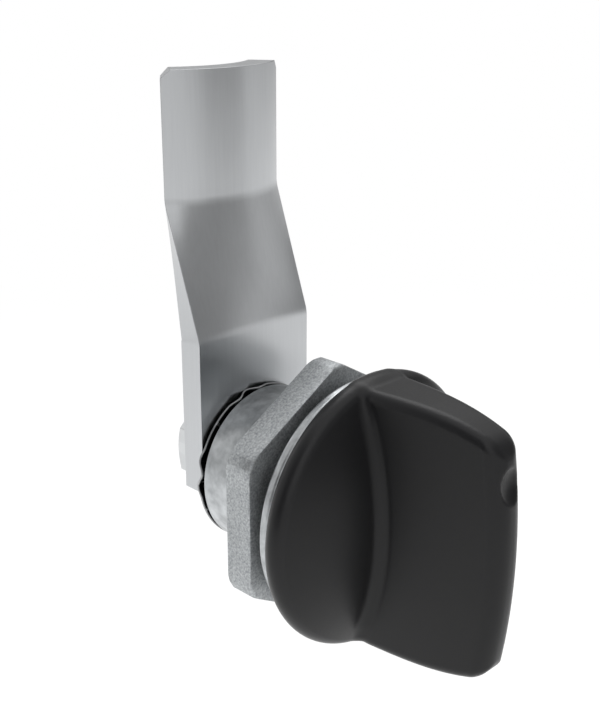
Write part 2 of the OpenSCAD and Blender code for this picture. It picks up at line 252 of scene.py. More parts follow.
@dataclass(frozen=True)
class PolymerFinish(Finish):
    """A moulded polymer or rubber: matt texture from the mould, slow flow marks and polished edges.

    Pieces may carry a convexity attribute, positive on edges that stand out, which fingers polish.
    The polish sets in at the convexity edge_from and is full at edge_to.
    """

    colour: str
    flow: str
    edge: str
    texture_mm: float
    flow_mm: float
    roughness: tuple[float, float]
    specular: float
    ior: float
    bump_mm: float
    edge_gloss: float
    edge_from: float = 0.2
    edge_to: float = 0.7
    relief: float = 0.4

    def _make(self) -> bpy.types.Material:
        """Builds the node tree of the finish.

        Returns:
            The new material.
        """
        material = blank_material(self.name)
        tree = material.node_tree
        where = add_node(tree, "ShaderNodeTexCoord").outputs["Object"]
        texture = add_node(
            tree, "ShaderNodeTexNoise", {"Vector": where, "Scale": per_mm(self.texture_mm)[0], "Detail": 2.0}
        )
        flow = add_node(
            tree, "ShaderNodeTexNoise", {"Vector": where, "Scale": per_mm(self.flow_mm)[0], "Detail": 3.0}
        )
        base = add_node(
            tree,
            "ShaderNodeMix",
            {MIX_SHARE: flow.outputs[0], MIX_FIRST: linear(self.colour), MIX_SECOND: linear(self.flow)},
            data_type="RGBA",
        )
        convex = add_node(tree, "ShaderNodeAttribute", attribute_name="convexity")
        ridge = add_node(
            tree,
            "ShaderNodeMapRange",
            {"Value": convex.outputs["Fac"], "From Min": self.edge_from, "From Max": self.edge_to},
            interpolation_type="SMOOTHSTEP",
        )
        edge_toned = add_node(
            tree,
            "ShaderNodeMix",
            {
                MIX_SHARE: ridge.outputs[0],
                MIX_FIRST: base.outputs[MIX_RESULT],
                MIX_SECOND: linear(self.edge),
            },
            data_type="RGBA",
        )
        smooth, rough = self.roughness
        gloss = add_node(
            tree,
            "ShaderNodeMapRange",
            {
                "Value": texture.outputs[0],
                "From Min": NOISE_LOW,
                "From Max": NOISE_HIGH,
                "To Min": smooth,
                "To Max": rough,
            },
        )
        polish = add_node(
            tree, "ShaderNodeMath", {0: ridge.outputs[0], 1: self.edge_gloss}, operation="MULTIPLY"
        )
        polished = add_node(
            tree, "ShaderNodeMath", {0: gloss.outputs[0], 1: polish.outputs[0]}, operation="SUBTRACT"
        )
        bump = add_node(
            tree,
            "ShaderNodeBump",
            {"Strength": self.relief, "Distance": self.bump_mm * MM, "Height": texture.outputs[0]},
        )
        shader = add_node(
            tree,
            "ShaderNodeBsdfPrincipled",
            {
                "Base Color": edge_toned.outputs[MIX_RESULT],
                "Roughness": polished.outputs[0],
                "IOR": self.ior,
                "Specular IOR Level": self.specular,
                "Normal": bump.outputs[0],
            },
        )
        add_node(tree, "ShaderNodeOutputMaterial", {"Surface": shader.outputs[0]})
        return material


# Glass-filled polyamide out of a spark-eroded mould: deep matt black with a fine even texture.
# The real texture is finer and is drawn as coarse as it needs to show.
BLACK_POLYAMIDE = PolymerFinish(
    name="polyamide_moulded_black",
    colour="#0C0C0D",
    flow="#0F0F10",
    edge="#111112",
    texture_mm=0.22,
    flow_mm=7.0,
    roughness=(0.34, 0.4),
    specular=0.235,
    ior=1.53,
    bump_mm=0.012,
    edge_gloss=0.04,
)
# Nitrile rubber rings: dull black with a slight bloom.
NITRILE_RUBBER = PolymerFinish(
    name="nitrile_rubber_moulded",
    colour="#161616",
    flow="#202020",
    edge="#262626",
    texture_mm=0.3,
    flow_mm=3.0,
    roughness=(0.6, 0.75),
    specular=0.3,
    ior=1.52,
    bump_mm=0.015,
    edge_gloss=0.0,
)
# Rolled steel sheet, formed and then nickel plated: a soft sheen with faint streaks along the rolling.
# Its rounded edges catch the light by themselves, so only sharp corners take the edge colour.
NICKEL_SHEET = MetalFinish(
    name="steel_sheet_nickel_plated",
    dark="#BFC1C3",
    light="#C5C7C9",
    edge="#D6D8D9",
    grain_mm=(0.3, 0.3, 9.0),
    grain_contrast=(0.2, 0.8),
    blotch_mm=5.0,
    roughness=(0.28, 0.32),
    bump_mm=0.0006,
    edge_from=0.6,
    edge_to=0.7,
)
# Zinc die casting, blasted before plating: a coarse sparkling grain of light and dark specks.
# The grain runs over its edges, so only sharp corners take the edge colour.
BLASTED_ZINC = MetalFinish(
    name="zinc_casting_blasted",
    dark="#999C9F",
    light="#C8CBCC",
    edge="#B4B7B8",
    grain_mm=(0.26, 0.26, 0.26),
    grain_contrast=(0.34, 0.68),
    blotch_mm=3.0,
    roughness=(0.5, 0.62),
    bump_mm=0.02,
    edge_from=0.6,
    edge_to=0.7,
)
# Zinc die casting, tumbled smooth and nickel plated: satin with soft cloudy patches.
SATIN_NICKEL = MetalFinish(
    name="zinc_casting_satin_nickel",
    dark="#A0A3A5",
    light="#C6C9CB",
    edge="#DADCDD",
    grain_mm=(2.4, 2.4, 2.4),
    grain_contrast=(0.36, 0.64),
    blotch_mm=2.6,
    roughness=(0.28, 0.4),
    bump_mm=0.16,
)
# Turned and cold-headed steel, zinc plated: bright with a very fine grain, drawn coarser so that it shows.
ZINC_PLATED = MetalFinish(
    name="steel_zinc_plated",
    dark="#9EA1A4",
    light="#ACAFB1",
    edge="#D2D4D5",
    grain_mm=(0.3, 0.3, 0.3),
    grain_contrast=(0.35, 0.65),
    blotch_mm=2.0,
    roughness=(0.28, 0.38),
    bump_mm=0.004,
)
# Hardened spring strip: grey and a little oily, with edges rubbed bright.
# The real grain is finer, here and on the strip with painted shade, and is drawn as coarse as it needs to
# show.
SPRING_STEEL = MetalFinish(
    name="spring_steel_hardened",
    dark="#8C8D8F",
    light="#A3A4A6",
    edge="#D8D9DA",
    grain_mm=(0.2, 0.2, 0.2),
    grain_contrast=(0.35, 0.65),
    blotch_mm=1.5,
    roughness=(0.28, 0.36),
    bump_mm=0.003,
)
# Spring strip: its nearly black faces are painted shade for the dark gap between the barrel and the cam,
# and the light edge colour on its cut edges is a painted highlight.
STRIP_PAINTED_SHADE_AND_HIGHLIGHT = MetalFinish(
    name="spring_strip_painted_shade_and_highlight",
    dark="#1D1E20",
    light="#2B2C2E",
    edge="#B4B5B6",
    grain_mm=(0.2, 0.2, 0.2),
    grain_contrast=(0.35, 0.65),
    blotch_mm=1.5,
    roughness=(0.3, 0.4),
    bump_mm=0.003,
)


# Meshes

# Rounds in which the points of a surface settle on it, and the least squared slope that they go by
SETTLE_ROUNDS = 4
LEAST_SLOPE = 0.2
# Points of a rounded corner, as shares of its turn
CORNER_SHARES = (0.0, 0.25, 0.5, 0.75)
# How far the middle of a rounding lies in from each side of its square corner, as a share of its radius
ROUNDING_INSET = 0.29


def solid(
    name: str, points: Array, faces: Sequence[Sequence[int]], sharp_deg: float | None = None
) -> bpy.types.Object:
    """Makes a smooth-shaded object.

    Args:
        name: the piece's name.
        points: corner points in millimetres.
        faces: corner numbers of each face, anticlockwise from outside.
        sharp_deg: edges that turn more than this many degrees stay sharp; none do by default.

    Returns:
        The object, linked to the scene.
    """
    mesh = bpy.data.meshes.new(name)
    mesh.from_pydata((np.asarray(points) * MM).tolist(), [], [list(map(int, face)) for face in faces])
    mesh.validate()
    mesh.shade_smooth()
    if sharp_deg is not None:
        mesh.set_sharp_from_angle(angle=np.radians(sharp_deg))
    piece = bpy.data.objects.new(name, mesh)
    bpy.context.scene.collection.objects.link(piece)
    return piece


def loft(rings: Sequence[Array], ring_ends: bool = False) -> tuple[Array, list[list[int]]]:
    """Joins rings of points with four-cornered faces.

    Args:
        rings: closed rings with equal numbers of points.
        ring_ends: True joins the last ring to the first; otherwise both ends are closed by flat faces.

    Returns:
        The points and the faces.
    """
    count, size = len(rings), len(rings[0])
    faces = []
    for j in range(count if ring_ends else count - 1):
        here, there = j * size, (j + 1) % count * size
        faces += [[here + i, here + (i + 1) % size, there + (i + 1) % size, there + i] for i in range(size)]
    if not ring_ends:
        faces.append(list(range(size))[::-1])
        faces.append(list(range((count - 1) * size, count * size)))
    return np.concatenate(rings), faces


def round_union(a: Array, b: Array, radius: Array | float) -> Array:
    """Joins two signed distances with a fillet of a radius between them."""
    rounding = np.hypot(np.maximum(radius - a, 0), np.maximum(radius - b, 0))
    return np.maximum(radius, np.minimum(a, b)) - rounding


def round_meet(a: Array, b: Array, radius: float) -> Array:
    """Keeps what lies within two signed distances and rounds the edge where they meet."""
    rounding = np.hypot(np.maximum(radius + a, 0), np.maximum(radius + b, 0))
    return np.minimum(-radius, np.maximum(a, b)) + rounding


def slope_of(distance: Distance, points: Array, reach: float) -> Array:
    """Measures the gradient of a signed distance at points, over a small reach."""
    steps = np.eye(3) * reach
    return np.stack([distance(points + s) - distance(points - s) for s in steps], axis=-1) / (2 * reach)


def bend_of(distance: Distance, points: Array, reach: float) -> Array:
    """Measures how convex the surface is at points, as the sum of its curvatures per millimetre."""
    steps = np.concatenate([np.eye(3), -np.eye(3)]) * reach
    return (sum(distance(points + s) for s in steps) - len(steps) * distance(points)) / reach**2


def surface_net(distance: Distance, low: Array, high: Array, step: float) -> tuple[Array, Array]:
    """Meshes the zero surface of a signed distance with even four-cornered faces.

    Args:
        distance: the signed distance, negative inside.
        low: lowest corner of the box to search.
        high: highest corner of the box to search.
        step: size of the search grid.

    Returns:
        Points on the surface and faces of four corners.
    """
    axes = [np.arange(a, b + step, step) for a, b in zip(low, high)]
    grid = np.stack(np.meshgrid(*axes, indexing="ij"), axis=-1)
    value = distance(grid)
    inside = value < 0
    size = np.array(value.shape) - 1
    corners = [np.array([i, j, k]) for i in (0, 1) for j in (0, 1) for k in (0, 1)]

    def shifted(data: Array, corner: Array) -> Array:
        """Gives the data at one corner of every cell."""
        return data[tuple(slice(c, c + n) for c, n in zip(corner, size))]

    total = sum(shifted(inside, c).astype(int) for c in corners)
    mixed = (total > 0) & (total < len(corners))
    number = np.full(mixed.shape, -1)
    number[mixed] = np.arange(mixed.sum())
    points = np.zeros((int(mixed.sum()), 3))
    hits = np.zeros(len(points))
    for start in corners:
        for axis in np.flatnonzero(start == 0):
            end = start + np.eye(3, dtype=int)[axis]
            a, b = shifted(value, start)[mixed], shifted(value, end)[mixed]
            crossed = (a < 0) != (b < 0)
            share = np.where(crossed, a / np.where(crossed, a - b, 1), 0)
            at = shifted(grid, start)[mixed] + share[:, None] * np.eye(3)[axis] * step
            points += at * crossed[:, None]
            hits += crossed
    points /= hits[:, None]
    for _ in range(SETTLE_ROUNDS):
        slope = slope_of(distance, points, step / 10)
        move = distance(points) / np.maximum((slope**2).sum(-1), LEAST_SLOPE)
        points -= np.clip(move, -step / 2, step / 2)[:, None] * slope
    quads = []
    for axis in range(3):
        order = [axis, (axis + 1) % 3, (axis + 2) % 3]
        side, cell = inside.transpose(order), number.transpose(order)
        i, j, k = np.nonzero(side[:-1, 1:-1, 1:-1] != side[1:, 1:-1, 1:-1])
        j, k = j + 1, k + 1
        quad = np.stack(
            [cell[i, j - 1, k - 1], cell[i, j, k - 1], cell[i, j, k], cell[i, j - 1, k]], axis=1
        )
        outward = side[i, j, k]
        quads.append(np.where(outward[:, None], quad, quad[:, ::-1]))
    return points, np.concatenate(quads)


def polygon_outline(
    normals_deg: Sequence[float], offsets: Sequence[float], corner: float, density: float
) -> Array:
    """Draws the outline of a convex polygon with rounded corners, in the plane across the latch axis.

    Args:
        normals_deg: directions of the sides' normals from +X towards +Z, rising.
        offsets: distances of the sides from the axis.
        corner: radius of the rounded corners.
        density: largest spacing of points along a side.

    Returns:
        Points as rows of X and Z.
    """
    angle = np.radians(np.asarray(normals_deg, float))
    normal = np.stack([np.cos(angle), np.sin(angle)], axis=1)
    inset = np.asarray(offsets, float) - corner
    count = len(angle)
    centre = [
        np.linalg.solve(np.stack([normal[i], normal[(i + 1) % count]]), [inset[i], inset[(i + 1) % count]])
        for i in range(count)
    ]
    points = []
    for i in range(count):
        start, end = centre[i - 1] + corner * normal[i], centre[i] + corner * normal[i]
        pieces = max(2, int(np.ceil(np.linalg.norm(end - start) / density)))
        points += [start + (end - start) * s for s in np.linspace(0, 1, pieces, endpoint=False)]
        turn = (angle[(i + 1) % count] - angle[i]) % (2 * np.pi)
        points += [
            centre[i] + corner * np.array([np.cos(angle[i] + turn * s), np.sin(angle[i] + turn * s)])
            for s in CORNER_SHARES
        ]
    return np.array(points)


def ring_at(outline: Array, depth: Array | float) -> Array:
    """Sets an outline of X and Z at a depth along the latch axis, turning anticlockwise about +Y."""
    level = np.broadcast_to(depth, len(outline))
    return np.stack([outline[:, 0], level, outline[:, 1]], axis=1)[::-1]


def place(piece: bpy.types.Object, finish: Finish, body: Body, node: str) -> None:
    """Dresses a piece, sets it on its body and lets it stand for a CAD node.

    Args:
        piece: the piece, already where it belongs.
        finish: what it is made of.
        body: the body that carries it.
        node: the CAD node that it replaces.
    """
    piece.data.materials.append(finish.material())
    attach(piece, body.value)
    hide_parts(node)
    LOG.info("%s stands for %s with %d faces", piece.name, node, len(piece.data.polygons))


def dress_node(node: str, finish: Finish) -> None:
    """Gives a CAD node that keeps its own shape its finish."""
    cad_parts[node].material_slots[0].material = finish.material()
    LOG.info("%s keeps its shape, in %s", node, finish.name)


# The pieces


@dataclass
class WingKnob:
    """The moulded knob: a domed round base, an upright wing with a position mark, and a cored-out back."""

    diameter: float = 33.0
    rim: float = 1.6
    back: float = -1.8
    dome_height: float = 6.4
    height: float = 21.0
    wing_thickness: float = 4.3
    wing_draft: float = 3.1
    wing_length: float = 31.9
    wing_front_length: float = 27.4
    wing_sweep: float = 3.0
    wing_edge: float = 1.3
    wing_nose: float = 2.0
    wing_crown: float = 1.2
    fillet: float = 1.35
    fillet_fade: tuple[float, float] = (12.5, 15.6)
    fillet_least: float = 0.8
    mark_diameter: float = 4.2
    mark_depth: float = 0.75
    mark_height: float = 9.5
    mark_edge: float = 0.06
    hub_radius: float = 7.3
    hub_back: float = -0.97
    core_inner: float = 8.4
    core_outer: float = 12.7
    core_depth: float = 2.0
    rib_count: int = 6
    rib_thickness: float = 1.1
    pocket_width: float = 8.44
    pocket_front: float = -6.42
    mesh_step: float = 0.24

    @property
    def front(self) -> float:
        """Depth of the wing's front edge at its middle."""
        return self.back - self.height

    @property
    def rim_centre(self) -> tuple[float, float]:
        """Radius and depth of the centre of the rim's rounding."""
        return self.diameter / 2 - self.rim, self.back - self.rim

    @property
    def dome_radius(self) -> float:
        """Works out the sphere that runs into the rim without a step.

        Returns:
            The sphere's radius.
        """
        radius, depth = self.rim_centre
        rise = depth - (self.back - self.dome_height)
        return (radius**2 + rise**2 - self.rim**2) / 2 / (rise - self.rim)

    @property
    def dome_centre(self) -> float:
        """Depth of the centre of the dome's sphere."""
        return self.back - self.dome_height + self.dome_radius

    def _base(self, p: Array) -> Array:
        """Signed distance of the domed base.

        Args:
            p: points.

        Returns:
            The distance at each point.
        """
        rho, y = np.hypot(p[..., 0], p[..., 2]), p[..., 1]
        rim_r, rim_y = self.rim_centre
        on_dome = rho * (self.dome_centre - rim_y) < rim_r * (self.dome_centre - y)
        dome = np.hypot(rho, y - self.dome_centre) - self.dome_radius
        rim = np.hypot(rho - rim_r, y - rim_y) - self.rim
        disc = np.maximum(rho - rim_r, rim_y - y)
        return np.maximum(np.minimum(np.where(on_dome, dome, rim), disc), y - self.back)

    def _wing(self, p: Array) -> Array:
        """Signed distance of the wing: tapered, crowned and rounded on every edge.

        Args:
            p: points.

        Returns:
            The distance at each point.
        """
        x, y, z = np.abs(p[..., 0]), p[..., 1], np.abs(p[..., 2])
        foot = self.dome_centre - np.sqrt(self.dome_radius**2 - z**2 - self.wing_thickness**2 / 4)
        nose = self.front + self.wing_crown * (2 * z / self.wing_front_length) ** 2
        bottom = foot - self.fillet
        share = np.maximum((bottom - y) / (bottom - nose), 0)
        half_t = self.wing_thickness / 2 + self.wing_draft / 2 * (1 - share)
        shorter = (self.wing_length - self.wing_front_length) / 2
        half_l = self.wing_length / 2 - shorter * share**self.wing_sweep
        shell = round_meet(round_meet(x - half_t, z - half_l, self.wing_edge), nose - y, self.wing_nose)
        return np.maximum(shell, y - foot - self.rim)

    def _mark(self, p: Array) -> Array:
        """Signed distance of the round position mark, a shallow dish in the front edge.

        Args:
            p: points.

        Returns:
            The distance at each point.
        """
        surface = self.front + self.wing_crown * (2 * self.mark_height / self.wing_front_length) ** 2
        radius = (self.mark_diameter**2 / 4 + self.mark_depth**2) / 2 / self.mark_depth
        centre = np.array([0, surface + self.mark_depth - radius, self.mark_height])
        return np.linalg.norm(p - centre, axis=-1) - radius

    def _back(self, p: Array) -> Array:
        """Signed distance of what is cored out of the back: a ribbed ring and the square pocket.

        Args:
            p: points.

        Returns:
            The distance at each point.
        """
        x, y, z = p[..., 0], p[..., 1], p[..., 2]
        rho = np.hypot(x, z)
        floor = self.back - self.core_depth
        ring = np.maximum.reduce([self.core_inner - rho, rho - self.core_outer, floor - y])
        for i in range(self.rib_count):
            turn = 2 * np.pi * i / self.rib_count
            along, across = x * np.cos(turn) + z * np.sin(turn), z * np.cos(turn) - x * np.sin(turn)
            rib = np.maximum(np.abs(across) - self.rib_thickness / 2, -along)
            ring = np.maximum(ring, -rib)
        half = self.pocket_width / 2
        pocket = np.maximum.reduce([np.abs(x) - half, np.abs(z) - half, self.pocket_front - y])
        return np.minimum(ring, pocket)

    def distance(self, p: Array) -> Array:
        """Signed distance of the whole knob.

        Args:
            p: points, in millimetres.

        Returns:
            The distance at each point, negative inside.
        """
        start, end = self.fillet_fade
        fade = np.clip((np.abs(p[..., 2]) - start) / (end - start), 0, 1)
        fillet = self.fillet + (self.fillet_least - self.fillet) * fade**2 * (3 - 2 * fade)
        body = round_union(self._base(p), self._wing(p), fillet)
        body = round_meet(body, -self._mark(p), self.mark_edge)
        rho, y = np.hypot(p[..., 0], p[..., 2]), p[..., 1]
        hub = np.maximum.reduce([rho - self.hub_radius, self.back - self.rim - y, y - self.hub_back])
        return np.maximum(np.minimum(body, hub), -self._back(p))

    def build(self) -> None:
        """Meshes the knob, notes where it is convex, and dresses it."""
        reach, spare = self.diameter / 2, 2 * self.mesh_step
        low = np.array([-reach, self.front, -reach]) - spare
        high = np.array([reach, self.hub_back, reach]) + spare
        points, faces = surface_net(self.distance, low, high, self.mesh_step)
        knob = solid("knob_moulding", points, faces)
        convexity = knob.data.attributes.new("convexity", "FLOAT", "POINT")
        bend = np.clip(bend_of(self.distance, points, self.mesh_step), -1, 1)
        convexity.data.foreach_set("value", bend.astype(np.float32))
        place(knob, BLACK_POLYAMIDE, Body.ROTOR, "wing_knob")


@dataclass
class HexNut:
    """The cast nut: a hexagon with a small flat on each corner, turned chamfers and a countersunk bore."""

    across_flats: float = 28.5
    thickness: float = 3.9
    front: float = 2.02
    corner_flat: float = 1.3
    corner_rounding: float = 0.45
    chamfer: float = 0.35
    chamfer_deg: float = 60.0
    bore_radius: float = 10.05
    edge: float = 0.2
    side_step: float = 0.6
    sharp_deg: float = 40.0

    @property
    def corner_radius(self) -> float:
        """Radius of the hexagon's corners before they were cut flat."""
        return self.across_flats / 2 / np.cos(np.radians(HEX_DEG / 2))

    def outline(self) -> Array:
        """Draws the hexagon with its corners cut flat.

        Returns:
            Points as rows of X and Z.
        """
        flat = self.corner_radius - self.corner_flat / 2 / np.tan(np.radians(HEX_DEG))
        normals = np.arange(0, 360, HEX_DEG // 2)
        offsets = np.where(normals % HEX_DEG == 0, self.across_flats / 2, flat)
        return polygon_outline(normals, offsets, self.corner_rounding, self.side_step)

    def build(self) -> None:
        """Lofts the nut round its section and dresses it."""
        outline = self.outline()
        radius = np.linalg.norm(outline, axis=1)
        way = outline / radius[:, None]
        steepness = np.tan(np.radians(self.chamfer_deg))
        held = np.minimum(radius, self.corner_radius - self.chamfer * steepness)
        slope = (radius - held) / steepness
        lead, inset = 2 * self.chamfer, ROUNDING_INSET * self.edge
        section = [
            (np.full_like(radius, self.bore_radius), lead),
            (np.full_like(radius, self.bore_radius + lead), 0.0),
            (held - self.edge, 0.0),
            (held - inset + (radius - held) / 2, inset + slope / 2),
            (radius, self.edge + slope),
        ]
        back = self.front + self.thickness
        rings = [ring_at(way * r[:, None], self.front + np.asarray(d)) for r, d in section]
        rings += [ring_at(way * r[:, None], back - np.asarray(d)) for r, d in reversed(section)]
        points, faces = loft(rings, ring_ends=True)
        nut = solid("nut_casting", points, faces, self.sharp_deg)
        place(nut, BLASTED_ZINC, Body.NUT, "hex_nut")


@dataclass
class FormedCam:
    """The cranked cam: a flat foot, a sloping neck and an arched end, formed from one sheet."""

    front: float = 16.0
    thickness: float = 3.3
    width: float = 18.0
    reach: float = 48.2
    bend_low: float = 17.6
    bend_high: float = 33.2
    setback: float = 2.2
    arch_radius: float = 14.2
    bend_blend: float = 1.3
    tip_chamfer: float = 0.95
    foot_depth: float = 7.6
    foot_shoulder: float = 1.9
    foot_slope: float = 37.0
    hole_width: float = 7.1
    edge: float = 0.22
    edge_deg: float = 35.0
    edge_segments: int = 3
    foot_rows: int = 4
    bend_rows: int = 7
    slope_rows: int = 19
    end_rows: int = 12
    side_columns: int = 10
    middle_columns: int = 15
    middle_share: float = 0.55

    def _ramp(self, z: Array) -> tuple[Array, Array]:
        """Gives the share from the foot to the arched end at a height, and its slope.

        Args:
            z: heights.

        Returns:
            The share from 0 to 1 and its change per millimetre.
        """
        run = self.bend_high - self.bend_low
        s, e = (z - self.bend_low) / run, self.bend_blend / 2 / run
        start = np.clip(s + e, 0, 2 * e) ** 2 / 4 / e + np.maximum(s - e, 0)
        over = np.clip(s - 1 + e, 0, 2 * e) ** 2 / 4 / e + np.maximum(s - 1 - e, 0)
        slope = (np.clip((s + e) / 2 / e, 0, 1) - np.clip((s - 1 + e) / 2 / e, 0, 1)) / run
        return start - over, slope

    def _sheet(self, x: Array, z: Array) -> tuple[Array, Array]:
        """Places points of the flat pattern on the front and back of the formed sheet.

        Args:
            x: sideways places.
            z: heights.

        Returns:
            Points of the front and of the back face.
        """
        share, slope = self._ramp(z)
        flat = np.sqrt(self.arch_radius**2 - x**2)
        fall = self.setback + self.arch_radius - flat
        front = np.stack([x, self.front + share * fall, z], axis=-1)
        normal = np.stack([-share * x / flat, np.ones_like(x), -slope * fall], axis=-1)
        normal /= np.linalg.norm(normal, axis=-1, keepdims=True)
        return front, front + self.thickness * normal

    def _pattern(self) -> tuple[Array, Array, Array]:
        """Lays a grid over the flat pattern of the cam.

        Returns:
            Sideways places and heights of the grid points, and which cells are sheet and not hole.
        """
        half, hole, bend = self.width / 2, self.hole_width / 2, self.bend_blend / 2
        rows = [
            np.linspace(-self.foot_depth, -hole, self.foot_rows),
            [-self.foot_shoulder, 0, hole / 2],
            np.linspace(hole, self.bend_low - bend, self.bend_rows)[:-1],
            np.linspace(self.bend_low - bend, self.bend_low + bend, self.bend_rows),
            np.linspace(self.bend_low + bend, self.bend_high - bend, self.slope_rows)[1:-1],
            np.linspace(self.bend_high - bend, self.bend_high + bend, self.bend_rows),
            np.linspace(self.bend_high + bend, self.reach - 2 * self.tip_chamfer, self.end_rows)[1:],
            [self.reach],
        ]
        z = np.concatenate([np.asarray(r, float) for r in rows])[:, None]
        wide = half - np.maximum(-self.foot_shoulder - z, 0) / np.tan(np.radians(self.foot_slope))
        inner = np.minimum(hole, self.middle_share * wide)
        chamfer_from = (half - self.tip_chamfer - hole) / (half - hole)
        side = np.append(np.linspace(0, chamfer_from, self.side_columns), 1.0)
        outer = inner + (wide - inner) * side
        middle = inner * np.linspace(-1, 1, self.middle_columns)[1:-1]
        x = np.concatenate([-outer[:, ::-1], middle, outer], axis=1)
        z = np.minimum(np.broadcast_to(z, x.shape), self.reach + half - self.tip_chamfer - np.abs(x))
        mid_x, mid_z = (x[:-1, :-1] + x[1:, 1:]) / 2, (z[:-1, :-1] + z[1:, 1:]) / 2
        return x, z, (np.abs(mid_x) > hole) | (np.abs(mid_z) > hole)

    def build(self) -> None:
        """Forms the sheet, closes its edges, rounds them and dresses it."""
        x, z, sheet = self._pattern()
        front, back = self._sheet(x, z)
        rows, columns = x.shape
        depth = rows * columns
        faces: list[list[int]] = []
        for j, i in zip(*np.nonzero(sheet)):
            a, d = j * columns + i, (j + 1) * columns + i
            b, c = a + 1, d + 1
            faces += [[a, b, c, d], [depth + d, depth + c, depth + b, depth + a]]
            around = ((-1, 0, a, b), (0, 1, b, c), (1, 0, c, d), (0, -1, d, a))
            for dj, di, start, end in around:
                beyond = (j + dj, i + di)
                if not (0 <= beyond[0] < rows - 1 and 0 <= beyond[1] < columns - 1 and sheet[beyond]):
                    faces.append([end, start, depth + start, depth + end])
        points = np.concatenate([front.reshape(-1, 3), back.reshape(-1, 3)])
        cam = solid("cam_formed_sheet", points, faces)
        rounding = cam.modifiers.new("edge_rounding", "BEVEL")
        rounding.width, rounding.segments = self.edge * MM, self.edge_segments
        rounding.limit_method, rounding.angle_limit = "ANGLE", np.radians(self.edge_deg)
        rounding.harden_normals = True
        place(cam, NICKEL_SHEET, Body.ROTOR, "cam")


@dataclass
class WaveWasher:
    """The spring strip between the barrel and the cam, pressed into beads that bend to and fro in turn."""

    inner: float = 7.0
    outer: float = 10.0
    crest: float = 15.05
    trough: float = 15.73
    thickness: float = 0.25
    beads: int = 5
    bead_deg: float = 20.0
    turn_deg: float = 65.0
    edge: float = 0.05
    rim: float = 0.2
    sharp_deg: float = 60.0
    steps: int = 540

    def _front(self, angle: Array) -> Array:
        """Gives the depth of the strip's front face.

        Args:
            angle: places round the strip, in degrees.

        Returns:
            The depth at each place.
        """
        pitch, half = 360 / self.beads, self.bead_deg / 2
        rest = (self.crest + self.trough) / 2
        off = np.abs(angle % pitch - pitch / 2)
        valley = self.crest + (self.trough - self.crest) * (1 + np.cos(np.pi * off / half)) / 2
        shoulder = self.crest + (rest - self.crest) * (1 - np.cos(np.pi * (off - half) / half)) / 2
        bead = np.where(off < half, valley, np.where(off < 2 * half, shoulder, rest))
        way = np.where(angle // pitch % 2 == 0, 1, -1)
        return rest + way * (bead - rest)

    def build(self) -> None:
        """Sweeps the strip's section round the axis and dresses it."""
        margins = np.array([self.edge, self.rim])
        face = np.concatenate([self.inner + margins, (self.outer - margins)[::-1]])
        section = np.array([
            [self.inner, self.edge],
            *[[r, 0] for r in face],
            [self.outer, self.edge],
            [self.outer, self.thickness - self.edge],
            *[[r, self.thickness] for r in face[::-1]],
            [self.inner, self.thickness - self.edge],
        ])
        degrees = np.arange(self.steps) * 360 / self.steps
        turn = np.radians(degrees + self.turn_deg)
        rings = [
            np.stack([section[:, 0] * np.cos(t), section[:, 1] + y, section[:, 0] * np.sin(t)], axis=1)
            for t, y in zip(turn, self._front(degrees))
        ]
        points, faces = loft(rings, ring_ends=True)
        washer = solid("wave_washer_strip", points, faces, self.sharp_deg)
        # The strip's finish paints its faces near black as shade in the gap, and paints its edges bright as a
        # highlight.
        place(washer, STRIP_PAINTED_SHADE_AND_HIGHLIGHT, Body.ROTOR, "wave_washer")


@dataclass
class CamScrew:
    """The hexagon screw that holds the cam on the spindle."""

    diameter: float = 6.0
    tip: float = 9.7
    seat: float = 21.7
    head: float = 4.0
    across_flats: float = 10.0
    edge: float = 0.15
    bevel: float = 0.4
    bevel_deg: float = 30.0
    side_step: float = 0.5
    sharp_deg: float = 30.0

    def build(self) -> None:
        """Lofts the screw from its tip to the top of its head and dresses it."""
        normals = np.arange(0, 360, HEX_DEG)
        offsets = np.full(len(normals), self.across_flats / 2)
        outline = polygon_outline(normals, offsets, self.edge, self.side_step)
        radius = np.linalg.norm(outline, axis=1)
        way = outline / radius[:, None]
        top, face = self.seat + self.head, self.across_flats / 2 - self.bevel
        shank = self.diameter / 2
        steepness = np.tan(np.radians(self.bevel_deg))
        fall = np.maximum(radius - face, self.bevel) * steepness
        section = [
            (shank - self.bevel, self.tip),
            (shank, self.tip + self.bevel),
            (shank, self.seat),
            (radius - self.edge, self.seat),
            (radius, self.seat + self.edge),
            (radius, top - fall),
            (radius - self.edge, top - fall + self.edge * steepness),
            (face + self.edge, top - self.edge / 2),
            (face - self.edge, top),
            (face / 2, top),
        ]
        rings = [ring_at(way * np.broadcast_to(r, radius.shape)[:, None], d) for r, d in section]
        points, faces = loft(rings)
        screw = solid("cam_screw_hexagon", points, faces, self.sharp_deg)
        place(screw, ZINC_PLATED, Body.ROTOR, "cam_screw")


@dataclass
class CadPieces:
    """The pieces whose solids already have their final shape."""

    housing: MetalFinish = SATIN_NICKEL
    turned: MetalFinish = ZINC_PLATED
    spring: MetalFinish = SPRING_STEEL
    rubber: PolymerFinish = NITRILE_RUBBER

    def build(self) -> None:
        """Dresses each node."""
        dress_node("housing", self.housing)
        for node in ("spindle", "stop_pin", "cam_washer"):
            dress_node(node, self.turned)
        dress_node("lock_washer", self.spring)
        for node in ("panel_seal", "spindle_seal"):
            dress_node(node, self.rubber)


# The studio


def circle() -> Array:
    """Returns a circle of points round the vertical, one unit in radius."""
    turn = np.linspace(0, 2 * np.pi, ROUND_SIDES, endpoint=False)
    return np.stack([np.cos(turn), np.sin(turn), np.zeros_like(turn)], axis=1)


